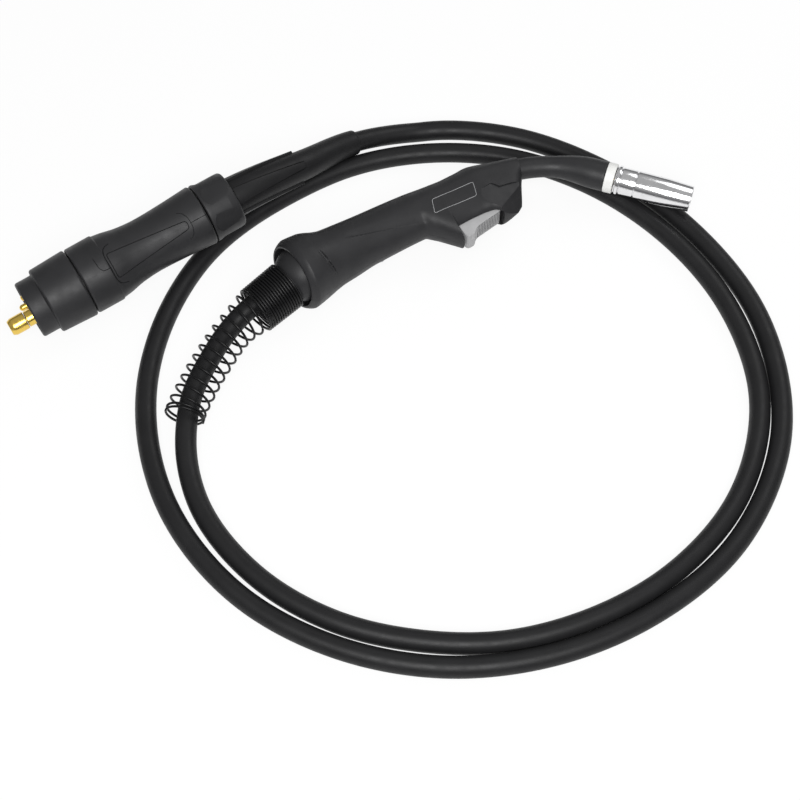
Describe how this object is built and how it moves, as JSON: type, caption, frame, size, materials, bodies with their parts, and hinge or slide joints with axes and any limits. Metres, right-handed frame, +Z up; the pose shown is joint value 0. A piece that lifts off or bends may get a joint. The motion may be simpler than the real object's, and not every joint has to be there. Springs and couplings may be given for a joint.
{
  "type": "mig welding torch",
  "caption": "Gas-shielded wire welding torch: ball-jointed pistol grip with trigger, bent neck and metal nozzle, spring strain relief, laid cable and central plug with pins.",
  "frame": {"origin": "middle of the box round the grip, neck and nozzle, on the surface that the torch lies on", "axes": "+X along the grip towards the nozzle, +Z up with the torch on its side, so the trigger and the nozzle point to -Y"},
  "size_m": [0.4848, 0.4519, 0.0611],
  "materials": {
    "black_plastic": "satin moulded black",
    "black_rubber": "matte black",
    "grey_plastic": "satin light grey",
    "white_insulator": "satin white",
    "chrome": "polished",
    "brass": "turned, bright",
    "copper": "turned copper",
    "black_wire": "black spring wire",
    "steel": "plain steel"
  },
  "bodies": {
    "handle": {"handle_shell_upper": "black_plastic", "handle_shell_lower": "black_plastic", "handle_screw_1": "steel", "handle_screw_2": "steel", "handle_screw_3": "steel", "neck_core": "brass", "neck_insulation": "black_plastic", "insulator_ring": "white_insulator", "neck_union": "brass", "handle_lead": "black_rubber", "gas_diffuser": "brass", "contact_tip": "copper", "nozzle_spring": "steel", "trigger_pin": "steel", "switch_body": "black_plastic"},
    "trigger": {"trigger": "grey_plastic"},
    "switch_plunger": {"switch_plunger": "grey_plastic"},
    "nozzle": {"nozzle": "chrome"},
    "cable_set": {"ball_joint": "black_plastic", "strain_spring": "black_wire", "power_cable": "black_rubber", "cable_boot": "black_rubber", "plug_collar": "black_plastic", "plug_housing_left": "black_plastic", "plug_housing_right": "black_plastic", "plug_screw_1": "steel", "plug_screw_2": "steel", "plug_face": "black_plastic", "plug_body": "brass", "gas_o_ring": "black_rubber", "liner_nut": "brass", "crimp_sleeve": "copper"},
    "plug_nut": {"plug_nut": "black_plastic"},
    "contact_pin_1": {"contact_pin_1": "brass"},
    "contact_pin_2": {"contact_pin_2": "brass"}
  },
  "joints": [
    {"name": "cable_swivel", "type": "hinge", "parent": "handle", "child": "cable_set", "pos_m": [-0.13749, 0.0363, 0.0273], "axis": [0, 0, 1], "range_deg": [-11, 3.5]},
    {"name": "trigger_pull", "type": "hinge", "parent": "handle", "child": "trigger", "pos_m": [0.00501, 0.0098, 0.0273], "axis": [0, 0, -1], "range_deg": [0, 5.5], "stiffness_Nm_per_rad": 0.6, "springref_deg": -1.72},
    {"name": "switch_press", "type": "slide", "parent": "handle", "child": "switch_plunger", "axis": [0, 1, 0], "range_m": [0, 0.0013]},
    {"name": "nozzle_pull", "type": "slide", "parent": "handle", "child": "nozzle", "axis": [0.6428, -0.766, 0], "range_m": [0, 0.02]},
    {"name": "nut_turn", "type": "hinge", "parent": "cable_set", "child": "plug_nut", "pos_m": [-0.31989, 0.1121, 0.02368], "axis": [0.9952, 0, 0.0976], "continuous": true},
    {"name": "contact_press_1", "type": "slide", "parent": "cable_set", "child": "contact_pin_1", "axis": [0.9952, 0, 0.0976], "range_m": [0, 0.004], "stiffness_N_per_m": 200, "springref_m": -0.002},
    {"name": "contact_press_2", "type": "slide", "parent": "cable_set", "child": "contact_pin_2", "axis": [0.9952, 0, 0.0976], "range_m": [0, 0.004], "stiffness_N_per_m": 200, "springref_m": -0.002}
  ],
  "couplings": [
    {"joint": "switch_press", "follows": "trigger_pull", "m_per_rad": 0.0135}
  ]
}
